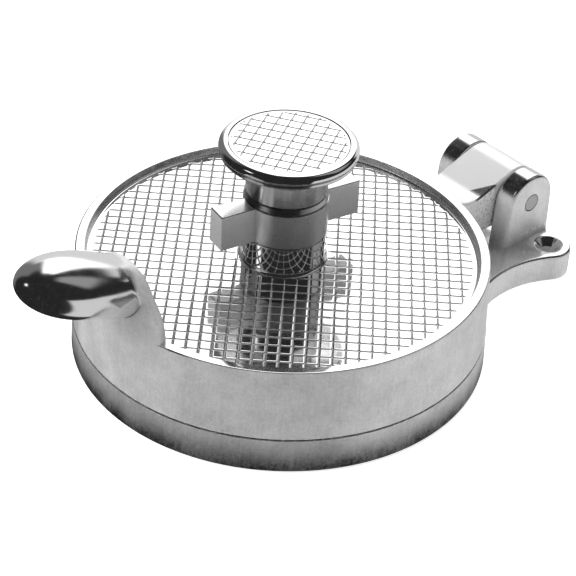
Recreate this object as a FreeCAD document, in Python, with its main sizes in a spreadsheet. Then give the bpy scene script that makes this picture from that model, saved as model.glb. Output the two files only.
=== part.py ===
import FreeCAD, Part
import os
import sys
import Sketcher
from FreeCAD import Vector

# Hinged, adjustable patty press in cast aluminium, in millimetres.
# +Z is up and the origin is the middle of the mould at the underside of the base.
# The handle points to -Y and the hinge is at +Y.

dimensions = {
    # mould and base
    "shellRadius": 63.0,
    "footRadius": 64.0,
    "cavityRadius": 57.5,
    "baseHeight": 11.6,
    "floorThickness": 4.0,
    "edgeBreak": 0.6,
    # lid shell
    "lidBottom": 12.0,
    "lidTop": 34.8,
    "lidTopRadius": 62.7,
    "recessFloor": 32.3,
    "recessRadius": 60.3,
    "lidCeiling": 28.3,
    "bossRadius": 12.6,
    "bossTop": 41.7,
    # rear flange with its two screw lugs
    "flangeHeight": 9.5,
    "lugX": 23.8,
    "lugY": 95.8,
    "lugRadius": 7.4,
    "waistRadius": 35.0,
    "waistInset": 1.5,
    "flangeRoot": 47.8,
    "screwHoleRadius": 2.3,
    "countersinkRadius": 4.5,
    "countersinkDepth": 2.4,
    # hinge
    "pinY": 92.5,
    "pinZ": 23.3,
    "pinRadius": 3.0,
    "pinClearance": 0.05,
    "earInner": 9.9,
    "earOuter": 17.0,
    "earRadius": 9.7,
    "earFootFront": 82.3,
    "earFootBack": 102.4,
    "earFootHeight": 9.2,
    "tongueHalf": 9.55,
    "knuckleRadius": 9.6,
    "tongueRoot": 60.9,
    "scoopRadius": 9.0,
    "scoopY": 71.4,
    "scoopRimY": 62.5,
    "clevisFloor": 9.5,
    # handle
    "neckInner": 56.6,
    "neckOuter": 62.7,
    "neckBottom": 30.0,
    "neckTop": 60.0,
    "neckDiscRadius": 19.3,
    "neckDiscZ": 34.6,
    "eggY": 76.2,
    "eggZ": 52.9,
    "eggLength": 20.5,
    "eggWidth": 12.0,
    "eggThickness": 8.8,
    "eggTilt": 21.0,
    # threaded guide tube in the lid's boss
    "tubeRadius": 8.0,
    "tubeTop": 61.5,
    "tubeFlangeRadius": 10.5,
    "tubeFlangeTop": 30.3,
    "ringGrooveRadius": 7.4,
    "ringGrooveBottom": 60.1,
    "ringThickness": 1.0,
    "ringRadius": 9.3,
    # wing collar and stop washer
    "collarRadius": 12.8,
    "collarBottom": 42.0,
    "collarTop": 53.4,
    "threadClearance": 0.06,
    "wingHalfSpan": 23.6,
    "wingThickness": 7.2,
    "wingDraft": -1.5,
    "wingTurn": 79.5,
    "washerBottom": 53.6,
    "washerTop": 55.3,
    "washerRadius": 12.6,
    "washerTopRadius": 12.1,
    "washerBore": 9.8,
    # plunger
    "shaftRadius": 5.0,
    "shaftClearance": 0.05,
    "shaftBottom": 16.4,
    "shaftTop": 63.6,
    "threadHoleRadius": 2.5,
    "threadHoleDepth": 14.0,
    "oringZ": 45.0,
    "oringRadius": 4.17,
    "oringSection": 0.82,
    "oringGrooveRadius": 3.3,
    "oringGrooveHalf": 1.1,
    "plateRadius": 57.1,
    "plateBottom": 12.4,
    "plateScrewHead": 5.0,
    "plateScrewCone": 2.5,
    "plateScrewTop": 27.0,
    # knob
    "neckTubeRadius": 12.2,
    "neckTubeBottom": 55.6,
    "neckTubeTop": 65.9,
    "neckBore": 9.9,
    "neckBoreTop": 62.6,
    "lipRadius": 20.1,
    "lipBottom": 66.6,
    "lipTop": 68.6,
    "screwPocketRadius": 5.8,
    "screwPocketFloor": 67.0,
    "screwHoleClear": 2.75,
    "knobRadius": 20.6,
    "knobTop": 71.5,
    "knobEdge": 1.35,
    "insertRadius": 17.75,
    "insertGap": 0.15,
    "insertBottom": 70.1,
    "insertTop": 71.3,
    "lockWasherRadius": 4.6,
    "lockWasherTop": 68.1,
    "knobScrewHead": 4.6,
    "knobScrewHeadTop": 69.9,
    "knobScrewEnd": 52.0,
}

doc = FreeCAD.newDocument("patty_press")
sheet = doc.addObject("Spreadsheet::Sheet", "Dims")
for row, (alias, size) in enumerate(dimensions.items(), start=1):
    sheet.set(f"A{row}", alias)
    sheet.set(f"B{row}", str(size))
    sheet.setAlias(f"B{row}", alias)
doc.recompute()


def cell(alias):
    return float(sheet.get(alias))


def bind(thing, **expressions):
    """Binds properties to expressions on the sheet; a double underscore stands for a dot."""
    for prop, expression in expressions.items():
        thing.setExpression(prop.replace("__", "."), expression)


def new_body(label):
    body = doc.addObject("PartDesign::Body", label)
    body.Label = label
    return body


def new_sketch(body, name, role, height=None):
    """Adds a sketch to one of the body's own origin planes, raised by an expression if given."""
    plane = [item for item in body.Origin.OriginFeatures if item.Role == role][0]
    sketch = body.newObject("Sketcher::SketchObject", name)
    sketch.AttachmentSupport = [(plane, "")]
    sketch.MapMode = "FlatFace"
    if height:
        sketch.setExpression("AttachmentOffset.Base.z", height)
    return sketch


def dimension(sketch, kind, expression, *references):
    """Adds a driving dimension bound to the sheet; a leading minus puts a corner on the far side."""
    if expression == "0":
        axis = -2 if kind == "DistanceX" else -1
        sketch.addConstraint(Sketcher.Constraint("PointOnObject", references[0], references[1], axis))
        return
    if kind == "Radius":
        ends = references
        drawn = sketch.Geometry[references[0]].Radius
    else:
        point = sketch.getPoint(*references)
        drawn = abs(point.x if kind == "DistanceX" else point.y)
        ends = (-1, 1, *references)
        if expression.startswith("-"):
            ends = (*references, -1, 1)
            expression = expression[1:]
    index = sketch.addConstraint(Sketcher.Constraint(kind, *ends, drawn))
    sketch.setExpression(f"Constraints[{index}]", expression)


def outline(body, name, role, corners, height=None):
    """Closed sketch of straight edges whose corners are pairs of sheet expressions."""
    sketch = new_sketch(body, name, role, height)
    count = len(corners)
    starts = []
    for across, up in corners:
        side = -1 if across.startswith("-") else 1
        rise = -1 if up.startswith("-") else 1
        starts.append(Vector(side * (1 + len(starts)), rise * (1 + len(starts) ** 2), 0))
    for i in range(count):
        sketch.addGeometry(Part.LineSegment(starts[i], starts[(i + 1) % count]), False)
    for i in range(count):
        sketch.addConstraint(Sketcher.Constraint("Coincident", i, 2, (i + 1) % count, 1))
    for i, (across, up) in enumerate(corners):
        dimension(sketch, "DistanceX", across, i, 1)
        dimension(sketch, "DistanceY", up, i, 1)
    return sketch


def turned(label, corners, body=None):
    """Body turned about Z from corners given as (radius, height) expressions."""
    body = body or new_body(label)
    sketch = outline(body, label + "_section", "XZ_Plane", corners)
    revolution = body.newObject("PartDesign::Revolution", label + "_turning")
    revolution.Profile = sketch
    revolution.ReferenceAxis = (sketch, ["V_Axis"])
    revolution.Angle = 360
    return body


def pad(body, sketch, name, length, midplane=False):
    feature = body.newObject("PartDesign::Pad", name)
    feature.Profile = sketch
    feature.Midplane = midplane
    bind(feature, Length=length)
    return feature


def pocket(body, sketch, name, length, midplane=False, backwards=False):
    feature = body.newObject("PartDesign::Pocket", name)
    feature.Profile = sketch
    feature.Midplane = midplane
    feature.Reversed = backwards
    bind(feature, Length=length)
    return feature


def circle_sketch(body, name, role, radius, across, up, height=None):
    sketch = new_sketch(body, name, role, height)
    middle = Vector(-5 if across.startswith("-") else 5, -5 if up.startswith("-") else 5, 0)
    sketch.addGeometry(Part.Circle(middle, Vector(0, 0, 1), 3), False)
    dimension(sketch, "DistanceX", across, 0, 3)
    dimension(sketch, "DistanceY", up, 0, 3)
    dimension(sketch, "Radius", radius, 0)
    return sketch


def flange_sketch(body):
    """Rear flange: a waist of two hollow arcs, two round lugs and a straight back edge."""
    sketch = new_sketch(body, "flange_outline", "XY_Plane")
    lug = Vector(cell("lugX"), cell("lugY"), 0)
    reach = cell("waistRadius") + cell("shellRadius") - cell("waistInset")
    span = cell("waistRadius") + cell("lugRadius")
    along = (reach ** 2 - span ** 2 + lug.Length ** 2) / (2 * lug.Length)
    aside = (reach ** 2 - along ** 2) ** 0.5
    toward = Vector(lug).normalize()
    centre = toward * along + Vector(toward.y, -toward.x, 0) * aside
    touch = centre + (lug - centre).normalize() * cell("waistRadius")
    root = centre - Vector(centre).normalize() * cell("waistRadius")
    back = lug + Vector(0, cell("lugRadius"), 0)
    up = Vector(0, 0, 1)
    x_axis = Vector(1, 0, 0)
    down = Vector(0, -1, 0)

    def mirrored(point):
        return Vector(-point.x, point.y, 0)

    def arc(middle, radius, first, second):
        angles = []
        for point in (first, second):
            spoke = point - middle
            angle = x_axis.getAngle(spoke)
            angles.append(angle if spoke.y >= 0 else -angle)
        return Part.ArcOfCircle(Part.Circle(middle, up, radius), angles[0], angles[1])

    sketch.addGeometry(arc(centre, cell("waistRadius"), touch, root), False)
    sketch.addGeometry(arc(lug, cell("lugRadius"), touch, back), False)
    sketch.addGeometry(Part.LineSegment(back, mirrored(back)), False)
    sketch.addGeometry(arc(mirrored(lug), cell("lugRadius"), mirrored(back), mirrored(touch)), False)
    sketch.addGeometry(arc(mirrored(centre), cell("waistRadius"), mirrored(root), mirrored(touch)), False)
    sketch.addGeometry(Part.LineSegment(mirrored(root), root), False)
    tangents = ((0, 1, 1, 1), (1, 2, 2, 1), (2, 2, 3, 1), (3, 2, 4, 2))
    for ends in tangents:
        sketch.addConstraint(Sketcher.Constraint("Tangent", *ends))
    sketch.addConstraint(Sketcher.Constraint("Coincident", 4, 1, 5, 1))
    sketch.addConstraint(Sketcher.Constraint("Coincident", 5, 2, 0, 2))
    sketch.addConstraint(Sketcher.Constraint("Symmetric", 1, 3, 3, 3, -2))
    sketch.addConstraint(Sketcher.Constraint("Symmetric", 0, 3, 4, 3, -2))
    sketch.addConstraint(Sketcher.Constraint("Symmetric", 0, 2, 4, 1, -2))
    dimension(sketch, "DistanceX", "Dims.lugX", 1, 3)
    dimension(sketch, "DistanceY", "Dims.lugY", 1, 3)
    dimension(sketch, "Radius", "Dims.lugRadius", 1)
    dimension(sketch, "Radius", "Dims.waistRadius", 0)
    dimension(sketch, "DistanceY", "Dims.flangeRoot", 0, 2)
    index = sketch.addConstraint(Sketcher.Constraint("Distance", 0, 3, -1, 1, reach))
    sketch.setExpression(
        f"Constraints[{index}]", "Dims.waistRadius + Dims.shellRadius - Dims.waistInset")
    return sketch


def ear_sketch(body):
    """Side view of a hinge ear: a straight foot, two flanks and a round head about the pin."""
    sketch = new_sketch(body, "ear_side", "YZ_Plane")
    head = Vector(cell("pinY"), cell("pinZ"), 0)
    radius = cell("earRadius")
    front = Vector(cell("earFootFront"), cell("earFootHeight"), 0)
    back = Vector(cell("earFootBack"), cell("earFootHeight"), 0)
    right = head + Vector(radius, 0, 0)
    left = head - Vector(radius, 0, 0)
    circle = Part.Circle(head, Vector(0, 0, 1), radius)
    sketch.addGeometry(Part.LineSegment(front, back), False)
    sketch.addGeometry(Part.LineSegment(back, right), False)
    sketch.addGeometry(Part.ArcOfCircle(circle, 0, 3.14159), False)
    sketch.addGeometry(Part.LineSegment(left, front), False)
    sketch.addConstraint(Sketcher.Constraint("Coincident", 0, 2, 1, 1))
    sketch.addConstraint(Sketcher.Constraint("Coincident", 3, 2, 0, 1))
    sketch.addConstraint(Sketcher.Constraint("Tangent", 1, 2, 2, 1))
    sketch.addConstraint(Sketcher.Constraint("Tangent", 2, 2, 3, 1))
    for index, end, across in ((0, 1, "Dims.earFootFront"), (0, 2, "Dims.earFootBack")):
        dimension(sketch, "DistanceX", across, index, end)
        dimension(sketch, "DistanceY", "Dims.earFootHeight", index, end)
    dimension(sketch, "DistanceX", "Dims.pinY", 2, 3)
    dimension(sketch, "DistanceY", "Dims.pinZ", 2, 3)
    dimension(sketch, "Radius", "Dims.earRadius", 2)
    return sketch


def base_casting():
    """Shallow round dish with the rear flange, screw lugs and hinge ears in one casting."""
    body = new_body("base_casting")
    puck = [
        ("0", "0"),
        ("Dims.footRadius - Dims.edgeBreak", "0"),
        ("Dims.footRadius", "Dims.edgeBreak"),
        ("Dims.shellRadius", "Dims.baseHeight"),
        ("0", "Dims.baseHeight"),
    ]
    turned("base_dish", puck, body)
    pad(body, flange_sketch(body), "flange", "Dims.flangeHeight")
    pad(body, ear_sketch(body), "ears", "2 * Dims.earOuter", midplane=True)
    clevis = outline(body, "clevis_gap", "YZ_Plane", [
        ("Dims.earFootFront - 2", "Dims.clevisFloor"),
        ("Dims.earFootBack + 2", "Dims.clevisFloor"),
        ("Dims.earFootBack + 2", "Dims.pinZ + 2 * Dims.earRadius"),
        ("Dims.earFootFront - 2", "Dims.pinZ + 2 * Dims.earRadius"),
    ])
    pocket(body, clevis, "clevis", "2 * Dims.earInner", midplane=True)
    bore = circle_sketch(body, "pin_bore", "YZ_Plane", "Dims.pinRadius", "Dims.pinY", "Dims.pinZ")
    pocket(body, bore, "pin_holes", "3 * Dims.earOuter", midplane=True)
    mould = circle_sketch(body, "mould", "XY_Plane", "Dims.cavityRadius", "0", "0", "Dims.baseHeight")
    pocket(body, mould, "mould_cavity", "Dims.baseHeight - Dims.floorThickness")
    for side, across in (("right", "Dims.lugX"), ("left", "-Dims.lugX")):
        hole = circle_sketch(body, side + "_screw_hole", "XY_Plane", "Dims.screwHoleRadius",
                             across, "Dims.lugY", "Dims.flangeHeight")
        pocket(body, hole, side + "_screw_bore", "Dims.flangeHeight")
    for side, sign in (("right", ""), ("left", "-")):
        cone = body.newObject("PartDesign::SubtractiveCone", side + "_countersink")
        bind(cone, Radius1="Dims.screwHoleRadius", Radius2="Dims.countersinkRadius",
             Height="Dims.countersinkDepth")
        cone.setExpression("Placement.Base.x", sign + "Dims.lugX")
        cone.setExpression("Placement.Base.y", "Dims.lugY")
        cone.setExpression("Placement.Base.z", "Dims.flangeHeight - Dims.countersinkDepth")
    return body


def tongue_body():
    """Hinge arm of the lid: a flat underside, a round knuckle and a scooped top."""
    body = new_body("lid_tongue")
    sketch = new_sketch(body, "tongue_side", "YZ_Plane")
    knuckle = Vector(cell("pinY"), cell("pinZ"), 0)
    radius = cell("knuckleRadius")
    rim = Vector(cell("scoopRimY"), cell("lidTop"), 0)
    scoop_radius = cell("scoopRadius")
    rise = (scoop_radius ** 2 - (cell("scoopY") - rim.x) ** 2) ** 0.5
    scoop = Vector(cell("scoopY"), rim.y + rise, 0)
    low = scoop - Vector(0, scoop_radius, 0)
    top = knuckle + Vector(0, radius, 0)
    bottom = knuckle - Vector(0, radius, 0)
    root = cell("tongueRoot")
    up = Vector(0, 0, 1)
    start = Part.Circle(scoop, up, scoop_radius).parameter(rim)
    sketch.addGeometry(Part.LineSegment(Vector(root, bottom.y, 0), bottom), False)
    sketch.addGeometry(Part.ArcOfCircle(Part.Circle(knuckle, up, radius), -1.5708, 1.8), False)
    sketch.addGeometry(Part.LineSegment(top, low), False)
    sketch.addGeometry(Part.ArcOfCircle(Part.Circle(scoop, up, scoop_radius), start, 4.97), False)
    sketch.addGeometry(Part.LineSegment(rim, Vector(root, rim.y, 0)), False)
    sketch.addGeometry(Part.LineSegment(Vector(root, rim.y, 0), Vector(root, bottom.y, 0)), False)
    for ends in ((0, 2, 1, 1), (1, 2, 2, 1), (2, 2, 3, 2)):
        sketch.addConstraint(Sketcher.Constraint("Tangent", *ends))
    for ends in ((3, 1, 4, 1), (4, 2, 5, 1), (5, 2, 0, 1)):
        sketch.addConstraint(Sketcher.Constraint("Coincident", *ends))
    sketch.addConstraint(Sketcher.Constraint("Horizontal", 0))
    sketch.addConstraint(Sketcher.Constraint("Horizontal", 4))
    sketch.addConstraint(Sketcher.Constraint("Vertical", 5))
    dimension(sketch, "DistanceX", "Dims.tongueRoot", 0, 1)
    dimension(sketch, "DistanceX", "Dims.pinY", 1, 3)
    dimension(sketch, "DistanceY", "Dims.pinZ", 1, 3)
    dimension(sketch, "Radius", "Dims.knuckleRadius", 1)
    dimension(sketch, "Radius", "Dims.scoopRadius", 3)
    dimension(sketch, "DistanceX", "Dims.scoopY", 3, 3)
    dimension(sketch, "DistanceX", "Dims.scoopRimY", 3, 1)
    dimension(sketch, "DistanceY", "Dims.lidTop", 3, 1)
    pad(body, sketch, "tongue", "2 * Dims.tongueHalf", midplane=True)
    return body


def handle_neck():
    """Rounded shield that carries the lid's outer wall upwards at the front."""
    outer = doc.addObject("Part::Cylinder", "neck_outer")
    inner = doc.addObject("Part::Cylinder", "neck_inner")
    for wall, radius in ((outer, "Dims.neckOuter"), (inner, "Dims.neckInner")):
        bind(wall, Radius=radius, Height="Dims.neckTop - Dims.neckBottom",
             Placement__Base__z="Dims.neckBottom")
    ring = doc.addObject("Part::Cut", "neck_ring")
    ring.Base = outer
    ring.Tool = inner
    disc = doc.addObject("Part::Cylinder", "neck_disc")
    disc.Placement.Rotation = FreeCAD.Rotation(Vector(1, 0, 0), 90)
    bind(disc, Radius="Dims.neckDiscRadius", Height="Dims.shellRadius + 1",
         Placement__Base__z="Dims.neckDiscZ")
    neck = doc.addObject("Part::MultiCommon", "handle_neck")
    neck.Shapes = [ring, disc]
    return neck


def handle_egg():
    """Egg-shaped grip that leans up and out over the neck."""
    egg = doc.addObject("Part::Ellipsoid", "handle_egg")
    bind(egg, Radius1="Dims.eggThickness", Radius2="Dims.eggLength", Radius3="Dims.eggWidth")
    egg.Placement.Rotation = FreeCAD.Rotation(Vector(0, 0, 1), -90)
    egg.Placement.Rotation = FreeCAD.Rotation(Vector(1, 0, 0), -cell("eggTilt")) * egg.Placement.Rotation
    egg.setExpression("Placement.Base.y", "-Dims.eggY")
    egg.setExpression("Placement.Base.z", "Dims.eggZ")
    return egg


def lid_casting():
    """Lid shell with its boss, the hinge tongue and the handle, fused as one casting."""
    shell = turned("lid_shell", [
        ("Dims.tubeRadius", "Dims.tubeFlangeTop"),
        ("Dims.tubeFlangeRadius", "Dims.tubeFlangeTop"),
        ("Dims.tubeFlangeRadius", "Dims.lidCeiling"),
        ("Dims.cavityRadius", "Dims.lidCeiling"),
        ("Dims.cavityRadius", "Dims.lidBottom"),
        ("Dims.shellRadius - Dims.edgeBreak / 2", "Dims.lidBottom"),
        ("Dims.shellRadius", "Dims.lidBottom + Dims.edgeBreak / 2"),
        ("Dims.lidTopRadius", "Dims.lidTop - Dims.edgeBreak"),
        ("Dims.lidTopRadius - Dims.edgeBreak", "Dims.lidTop"),
        ("Dims.recessRadius", "Dims.lidTop"),
        ("Dims.recessRadius", "Dims.recessFloor"),
        ("Dims.bossRadius", "Dims.recessFloor"),
        ("Dims.bossRadius", "Dims.bossTop - Dims.edgeBreak / 2"),
        ("Dims.bossRadius - Dims.edgeBreak / 2", "Dims.bossTop"),
        ("Dims.tubeRadius", "Dims.bossTop"),
    ])
    blank = doc.addObject("Part::MultiFuse", "lid_blank")
    blank.Shapes = [shell, tongue_body(), handle_neck(), handle_egg()]
    bore = doc.addObject("Part::Cylinder", "knuckle_bore")
    bore.Placement.Rotation = FreeCAD.Rotation(Vector(0, 1, 0), 90)
    bind(bore, Radius="Dims.pinRadius + Dims.pinClearance", Height="4 * Dims.tongueHalf",
         Placement__Base__x="-2 * Dims.tongueHalf", Placement__Base__y="Dims.pinY",
         Placement__Base__z="Dims.pinZ")
    lid = doc.addObject("Part::Cut", "lid_casting")
    lid.Base = blank
    lid.Tool = bore
    return lid


def hinge_pin():
    """Plain steel pin, flush with both ears."""
    pin = doc.addObject("Part::Cylinder", "hinge_pin")
    pin.Placement.Rotation = FreeCAD.Rotation(Vector(0, 1, 0), 90)
    bind(pin, Radius="Dims.pinRadius", Height="2 * Dims.earOuter",
         Placement__Base__x="-Dims.earOuter", Placement__Base__y="Dims.pinY",
         Placement__Base__z="Dims.pinZ")
    return pin


def guide_tube():
    """Threaded tube pressed up into the boss; its flange sits in the lid's ceiling."""
    bore = "Dims.shaftRadius + Dims.shaftClearance"
    return turned("guide_tube", [
        (bore, "Dims.lidCeiling"),
        ("Dims.tubeFlangeRadius", "Dims.lidCeiling"),
        ("Dims.tubeFlangeRadius", "Dims.tubeFlangeTop"),
        ("Dims.tubeRadius", "Dims.tubeFlangeTop"),
        ("Dims.tubeRadius", "Dims.ringGrooveBottom"),
        ("Dims.ringGrooveRadius", "Dims.ringGrooveBottom"),
        ("Dims.ringGrooveRadius", "Dims.ringGrooveBottom + Dims.ringThickness"),
        ("Dims.tubeRadius - 0.3", "Dims.ringGrooveBottom + Dims.ringThickness"),
        ("Dims.tubeRadius - 0.3", "Dims.tubeTop"),
        (bore, "Dims.tubeTop"),
    ])


def collar_stop_ring():
    """Snap ring near the top of the guide tube that keeps the wing collar on."""
    return turned("collar_stop_ring", [
        ("Dims.ringGrooveRadius", "Dims.ringGrooveBottom"),
        ("Dims.ringRadius", "Dims.ringGrooveBottom"),
        ("Dims.ringRadius", "Dims.ringGrooveBottom + Dims.ringThickness"),
        ("Dims.ringGrooveRadius", "Dims.ringGrooveBottom + Dims.ringThickness"),
    ])


def wing_collar():
    """Adjusting nut with two flat wings, which screws up and down the guide tube."""
    bore = "Dims.tubeRadius + Dims.threadClearance"
    body = new_body("wing_collar")
    wings = outline(body, "wing_plan", "XY_Plane", [
        ("-Dims.wingHalfSpan", "-Dims.wingThickness / 2"),
        ("Dims.wingHalfSpan", "-Dims.wingThickness / 2"),
        ("Dims.wingHalfSpan", "Dims.wingThickness / 2"),
        ("-Dims.wingHalfSpan", "Dims.wingThickness / 2"),
    ], "Dims.collarBottom")
    feature = pad(body, wings, "wings", "Dims.collarTop - Dims.collarBottom")
    feature.setExpression("TaperAngle", "Dims.wingDraft")
    turned("collar_ring", [
        ("0", "Dims.collarBottom"),
        ("Dims.collarRadius - Dims.edgeBreak / 2", "Dims.collarBottom"),
        ("Dims.collarRadius", "Dims.collarBottom + Dims.edgeBreak / 2"),
        ("Dims.collarRadius", "Dims.collarTop"),
        ("0", "Dims.collarTop"),
    ], body)
    thread = circle_sketch(body, "thread_bore", "XY_Plane", bore, "0", "0", "Dims.collarTop")
    pocket(body, thread, "thread", "Dims.collarTop - Dims.collarBottom")
    body.Placement.Rotation = FreeCAD.Rotation(Vector(0, 0, 1), cell("wingTurn"))
    return body


def stop_washer():
    """Bevelled washer that rides on the collar and stops the knob's neck."""
    return turned("stop_washer", [
        ("Dims.washerBore", "Dims.washerBottom"),
        ("Dims.washerRadius", "Dims.washerBottom"),
        ("Dims.washerTopRadius", "Dims.washerTop"),
        ("Dims.washerBore", "Dims.washerTop"),
    ])


def shaft_drag_ring():
    """Rubber ring in the shaft's groove that holds the plunger where it is put."""
    ring = doc.addObject("Part::Torus", "shaft_drag_ring")
    bind(ring, Radius1="Dims.oringRadius", Radius2="Dims.oringSection",
         Placement__Base__z="Dims.oringZ")
    return ring


def plunger_shaft():
    """Steel shaft with a ring groove and a threaded hole in each end."""
    return turned("plunger_shaft", [
        ("0", "Dims.shaftBottom + Dims.threadHoleDepth"),
        ("Dims.threadHoleRadius", "Dims.shaftBottom + Dims.threadHoleDepth"),
        ("Dims.threadHoleRadius", "Dims.shaftBottom"),
        ("Dims.shaftRadius", "Dims.shaftBottom"),
        ("Dims.shaftRadius", "Dims.oringZ - Dims.oringGrooveHalf"),
        ("Dims.oringGrooveRadius", "Dims.oringZ - Dims.oringGrooveHalf"),
        ("Dims.oringGrooveRadius", "Dims.oringZ + Dims.oringGrooveHalf"),
        ("Dims.shaftRadius", "Dims.oringZ + Dims.oringGrooveHalf"),
        ("Dims.shaftRadius", "Dims.shaftTop"),
        ("Dims.threadHoleRadius", "Dims.shaftTop"),
        ("Dims.threadHoleRadius", "Dims.shaftTop - Dims.threadHoleDepth"),
        ("0", "Dims.shaftTop - Dims.threadHoleDepth"),
    ])


def press_plate():
    """Flat round plate that presses the patty, countersunk from below for its screw."""
    return turned("press_plate", [
        ("Dims.plateScrewHead", "Dims.plateBottom"),
        ("Dims.plateRadius - Dims.edgeBreak", "Dims.plateBottom"),
        ("Dims.plateRadius", "Dims.plateBottom + Dims.edgeBreak"),
        ("Dims.plateRadius", "Dims.shaftBottom"),
        ("Dims.threadHoleRadius", "Dims.shaftBottom"),
        ("Dims.threadHoleRadius", "Dims.plateBottom + Dims.plateScrewCone"),
    ])


def plate_screw():
    """Countersunk screw that holds the plate to the shaft."""
    return turned("plate_screw", [
        ("0", "Dims.plateBottom"),
        ("Dims.plateScrewHead", "Dims.plateBottom"),
        ("Dims.threadHoleRadius", "Dims.plateBottom + Dims.plateScrewCone"),
        ("Dims.threadHoleRadius", "Dims.plateScrewTop"),
        ("0", "Dims.plateScrewTop"),
    ])


def knob_neck():
    """Hollow neck with the knob's lower lip and a pocket for the screw."""
    return turned("knob_neck", [
        ("Dims.neckBore", "Dims.neckTubeBottom"),
        ("Dims.neckTubeRadius", "Dims.neckTubeBottom"),
        ("Dims.neckTubeRadius", "Dims.neckTubeTop"),
        ("Dims.lipRadius - 2 * Dims.edgeBreak", "Dims.lipBottom"),
        ("Dims.lipRadius", "Dims.lipBottom + Dims.edgeBreak"),
        ("Dims.lipRadius", "Dims.lipTop"),
        ("Dims.screwPocketRadius", "Dims.lipTop"),
        ("Dims.screwPocketRadius", "Dims.screwPocketFloor"),
        ("Dims.screwHoleClear", "Dims.screwPocketFloor"),
        ("Dims.screwHoleClear", "Dims.shaftTop"),
        ("Dims.shaftRadius", "Dims.shaftTop"),
        ("Dims.shaftRadius", "Dims.neckBoreTop"),
        ("Dims.neckBore", "Dims.neckBoreTop"),
    ])


def knob_rim():
    """Upper knob disc with a rounded edge and a pocket for the insert."""
    body = turned("knob_rim", [
        ("Dims.screwPocketRadius", "Dims.lipTop"),
        ("Dims.knobRadius", "Dims.lipTop"),
        ("Dims.knobRadius", "Dims.knobTop"),
        ("Dims.insertRadius + Dims.insertGap", "Dims.knobTop"),
        ("Dims.insertRadius + Dims.insertGap", "Dims.insertBottom"),
        ("Dims.screwPocketRadius", "Dims.insertBottom"),
    ])
    doc.recompute()
    turning = body.Tip
    edges = []
    for number, edge in enumerate(turning.Shape.Edges, start=1):
        box = edge.BoundBox
        widest = box.XMax > cell("knobRadius") - 0.01 and box.ZLength < 0.01
        if widest and len(edge.Vertexes) == 1:
            edges.append(f"Edge{number}")
    rounding = body.newObject("PartDesign::Fillet", "rim_rounding")
    rounding.Base = (turning, edges)
    bind(rounding, Radius="Dims.knobEdge")
    return body


def knob_insert():
    """Disc that closes the knob over the screw; its top carries the waffle pattern."""
    return turned("knob_insert", [
        ("0", "Dims.insertBottom"),
        ("Dims.insertRadius", "Dims.insertBottom"),
        ("Dims.insertRadius", "Dims.insertTop"),
        ("0", "Dims.insertTop"),
    ])


def knob_lock_washer():
    """Spring washer under the head of the knob's screw."""
    return turned("knob_lock_washer", [
        ("Dims.threadHoleRadius", "Dims.screwPocketFloor"),
        ("Dims.lockWasherRadius", "Dims.screwPocketFloor"),
        ("Dims.lockWasherRadius", "Dims.lockWasherTop"),
        ("Dims.threadHoleRadius", "Dims.lockWasherTop"),
    ])


def knob_screw():
    """Pan-head screw that holds the knob to the shaft."""
    return turned("knob_screw", [
        ("0", "Dims.knobScrewEnd"),
        ("Dims.threadHoleRadius", "Dims.knobScrewEnd"),
        ("Dims.threadHoleRadius", "Dims.lockWasherTop"),
        ("Dims.knobScrewHead", "Dims.lockWasherTop"),
        ("Dims.knobScrewHead", "Dims.knobScrewHeadTop - Dims.edgeBreak"),
        ("Dims.knobScrewHead - Dims.edgeBreak", "Dims.knobScrewHeadTop"),
        ("0", "Dims.knobScrewHeadTop"),
    ])


pieces = [
    base_casting(),
    hinge_pin(),
    lid_casting(),
    guide_tube(),
    collar_stop_ring(),
    wing_collar(),
    stop_washer(),
    shaft_drag_ring(),
    plunger_shaft(),
    press_plate(),
    plate_screw(),
    knob_neck(),
    knob_rim(),
    knob_insert(),
    knob_lock_washer(),
    knob_screw(),
]
doc.recompute()

faults = [item.Name for item in doc.Objects if "Invalid" in item.State or "Error" in item.State]
for piece in pieces:
    if piece.Shape.isNull() or not piece.Shape.isValid() or piece.Shape.Volume <= 0:
        faults.append(piece.Label)
if faults:
    print("failed:", ", ".join(faults))
    sys.exit(1)

os.makedirs("parts", exist_ok=True)
for piece in pieces:
    piece.Shape.exportStep(f"parts/{piece.Label}.step")
    print(f"{piece.Label}: {len(piece.Shape.Solids)} solid, {piece.Shape.Volume / 1000:.2f} cm3")
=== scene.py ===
import math

import bmesh
import bpy
import numpy as np
from mathutils import Matrix, Vector


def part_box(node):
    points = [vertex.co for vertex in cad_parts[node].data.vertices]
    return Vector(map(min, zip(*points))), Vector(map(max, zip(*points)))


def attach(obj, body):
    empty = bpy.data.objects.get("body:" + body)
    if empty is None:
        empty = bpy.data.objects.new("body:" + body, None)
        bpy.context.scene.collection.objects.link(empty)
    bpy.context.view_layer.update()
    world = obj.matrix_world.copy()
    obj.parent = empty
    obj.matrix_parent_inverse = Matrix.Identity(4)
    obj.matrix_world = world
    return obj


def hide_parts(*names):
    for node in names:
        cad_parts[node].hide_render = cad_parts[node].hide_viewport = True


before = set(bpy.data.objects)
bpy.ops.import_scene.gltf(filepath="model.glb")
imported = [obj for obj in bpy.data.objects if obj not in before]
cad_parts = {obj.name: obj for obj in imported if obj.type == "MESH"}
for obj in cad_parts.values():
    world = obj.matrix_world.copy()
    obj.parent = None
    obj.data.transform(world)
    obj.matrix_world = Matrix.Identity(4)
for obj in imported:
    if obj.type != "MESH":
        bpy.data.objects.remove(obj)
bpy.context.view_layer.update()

# Round patty press in cast aluminium. Settings are in millimetres and degrees.
mm = 0.001
scene = bpy.context.scene
scene.view_settings.view_transform = "Standard"


def nodeBox(node):
    low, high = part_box(node)
    return low / mm, high / mm


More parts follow.
